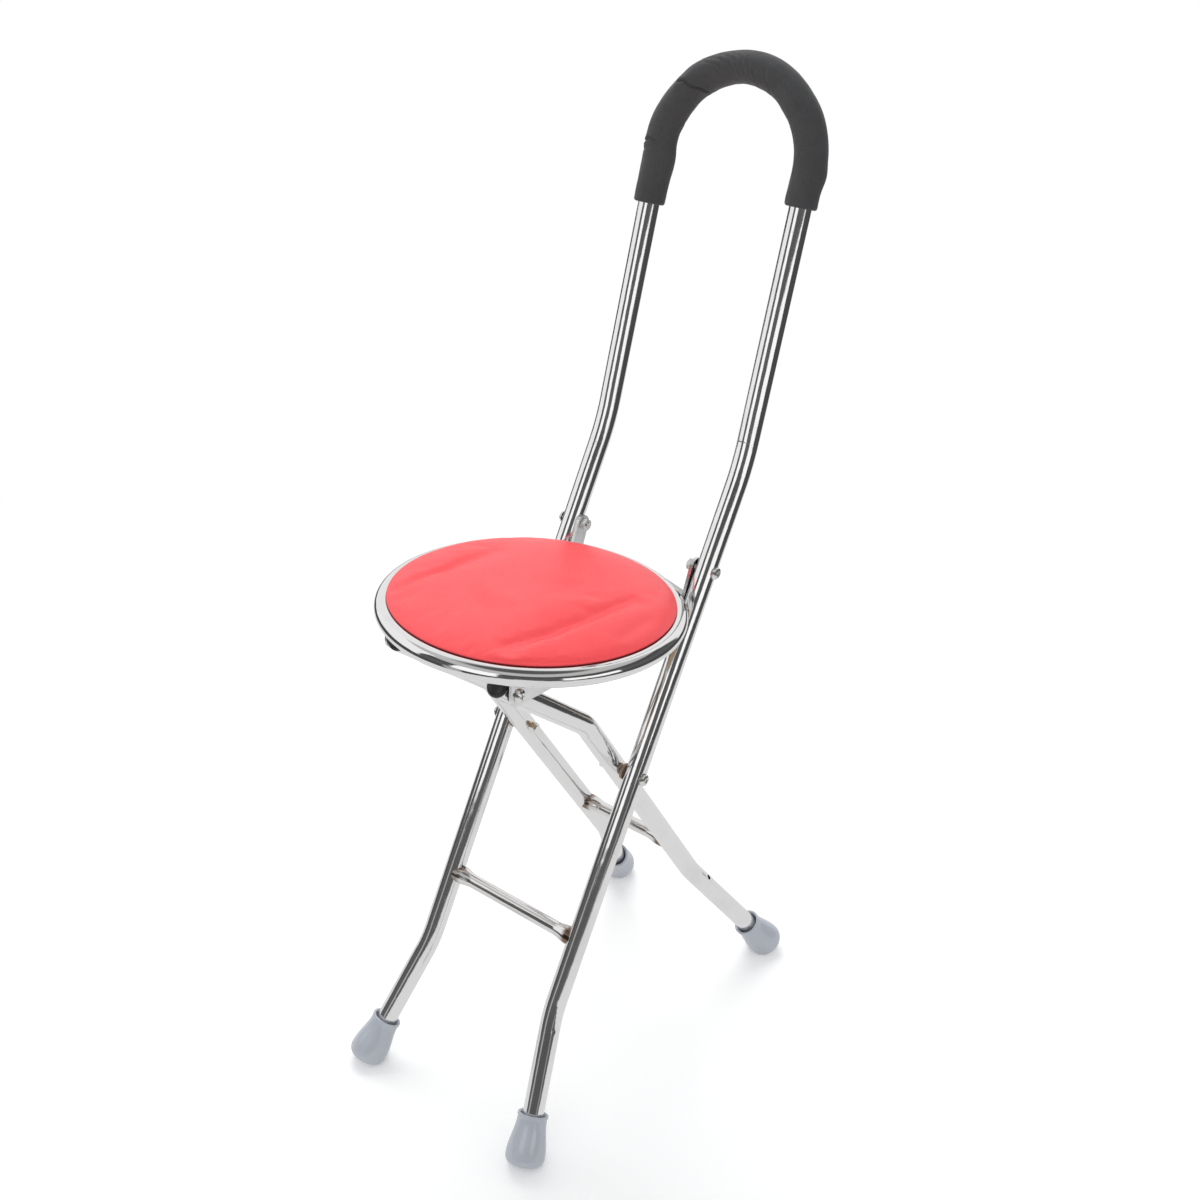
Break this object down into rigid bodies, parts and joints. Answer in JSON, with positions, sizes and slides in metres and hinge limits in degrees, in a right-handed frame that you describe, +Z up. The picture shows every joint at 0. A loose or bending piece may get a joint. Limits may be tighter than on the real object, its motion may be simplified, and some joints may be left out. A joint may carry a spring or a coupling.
{
  "type": "walking stick seat",
  "caption": "Folding walking stick with a round padded seat: a bent tube stick with a hoop handle, a nested rear leg frame and a seat that swings down.",
  "frame": {"origin": "on the floor, in the middle of the bounding box of the opened seat", "axes": "+Z up; the front feet and the seat are toward -Y, the handle leans toward +Y, +X is sideways"},
  "size_m": [0.261, 0.4216, 0.9],
  "materials": {
    "polished_tube": "polished stainless tube",
    "crossbar_steel": "polished, straw tint at the welds",
    "ring_steel": "polished stainless tube",
    "plate_steel": "plain zinc plated plate",
    "fastener_steel": "plated, bright",
    "grip_foam": "soft closed-cell foam, matte",
    "foot_rubber": "matte grey rubber",
    "plug_plastic": "black, satin",
    "spacer_plastic": "dark brown, satin",
    "washer_plastic": "black, satin",
    "cushion_vinyl": "coral red vinyl, satin",
    "board_wood": "plain plywood"
  },
  "bodies": {
    "main_frame": {"main_frame_tube": "polished_tube", "handle_grip": "grip_foam", "front_crossbar": "crossbar_steel", "front_foot_left": "foot_rubber", "front_foot_right": "foot_rubber", "crossing_bolts": "fastener_steel", "crossing_nuts": "fastener_steel", "crossing_spacers": "spacer_plastic", "link_bolts": "fastener_steel", "link_nuts": "fastener_steel"},
    "rear_frame": {"rear_leg_left": "polished_tube", "rear_leg_right": "polished_tube", "rear_crossbar": "crossbar_steel", "rear_foot_left": "foot_rubber", "rear_foot_right": "foot_rubber", "rear_leg_plug_left": "plug_plastic", "rear_leg_plug_right": "plug_plastic", "pivot_bolts": "fastener_steel", "pivot_nuts": "fastener_steel", "pivot_washers": "washer_plastic"},
    "seat": {"seat_ring": "ring_steel", "seat_board": "board_wood", "seat_cushion": "cushion_vinyl", "board_screws": "fastener_steel", "seat_rail_left": "plate_steel", "seat_rail_right": "plate_steel", "seat_hook_left": "plate_steel", "seat_hook_right": "plate_steel"},
    "left_link": {"link_left": "plate_steel", "link_stud_left": "fastener_steel"},
    "right_link": {"link_right": "plate_steel", "link_stud_right": "fastener_steel"}
  },
  "joints": [
    {"name": "legs_fold", "type": "hinge", "parent": "main_frame", "child": "rear_frame", "pos_m": [0, -0.02523, 0.31974], "axis": [-1, 0, 0], "range_deg": [0, 55.5]},
    {"name": "seat_fold", "type": "hinge", "parent": "rear_frame", "child": "seat", "pos_m": [0, -0.17452, 0.4672], "axis": [1, 0, 0], "range_deg": [0, 116.6]},
    {"name": "left_link_hang", "type": "hinge", "parent": "main_frame", "child": "left_link", "pos_m": [-0.0641, 0.06351, 0.49], "axis": [1, 0, 0], "range_deg": [0, 19.7]},
    {"name": "right_link_hang", "type": "hinge", "parent": "main_frame", "child": "right_link", "pos_m": [0.0641, 0.06351, 0.49], "axis": [1, 0, 0], "range_deg": [0, 19.7]}
  ],
  "couplings": [
    {"joint": "seat_fold", "follows": "legs_fold", "ratio": 2.1},
    {"joint": "left_link_hang", "follows": "legs_fold", "ratio": 0.354},
    {"joint": "right_link_hang", "follows": "legs_fold", "ratio": 0.354}
  ]
}
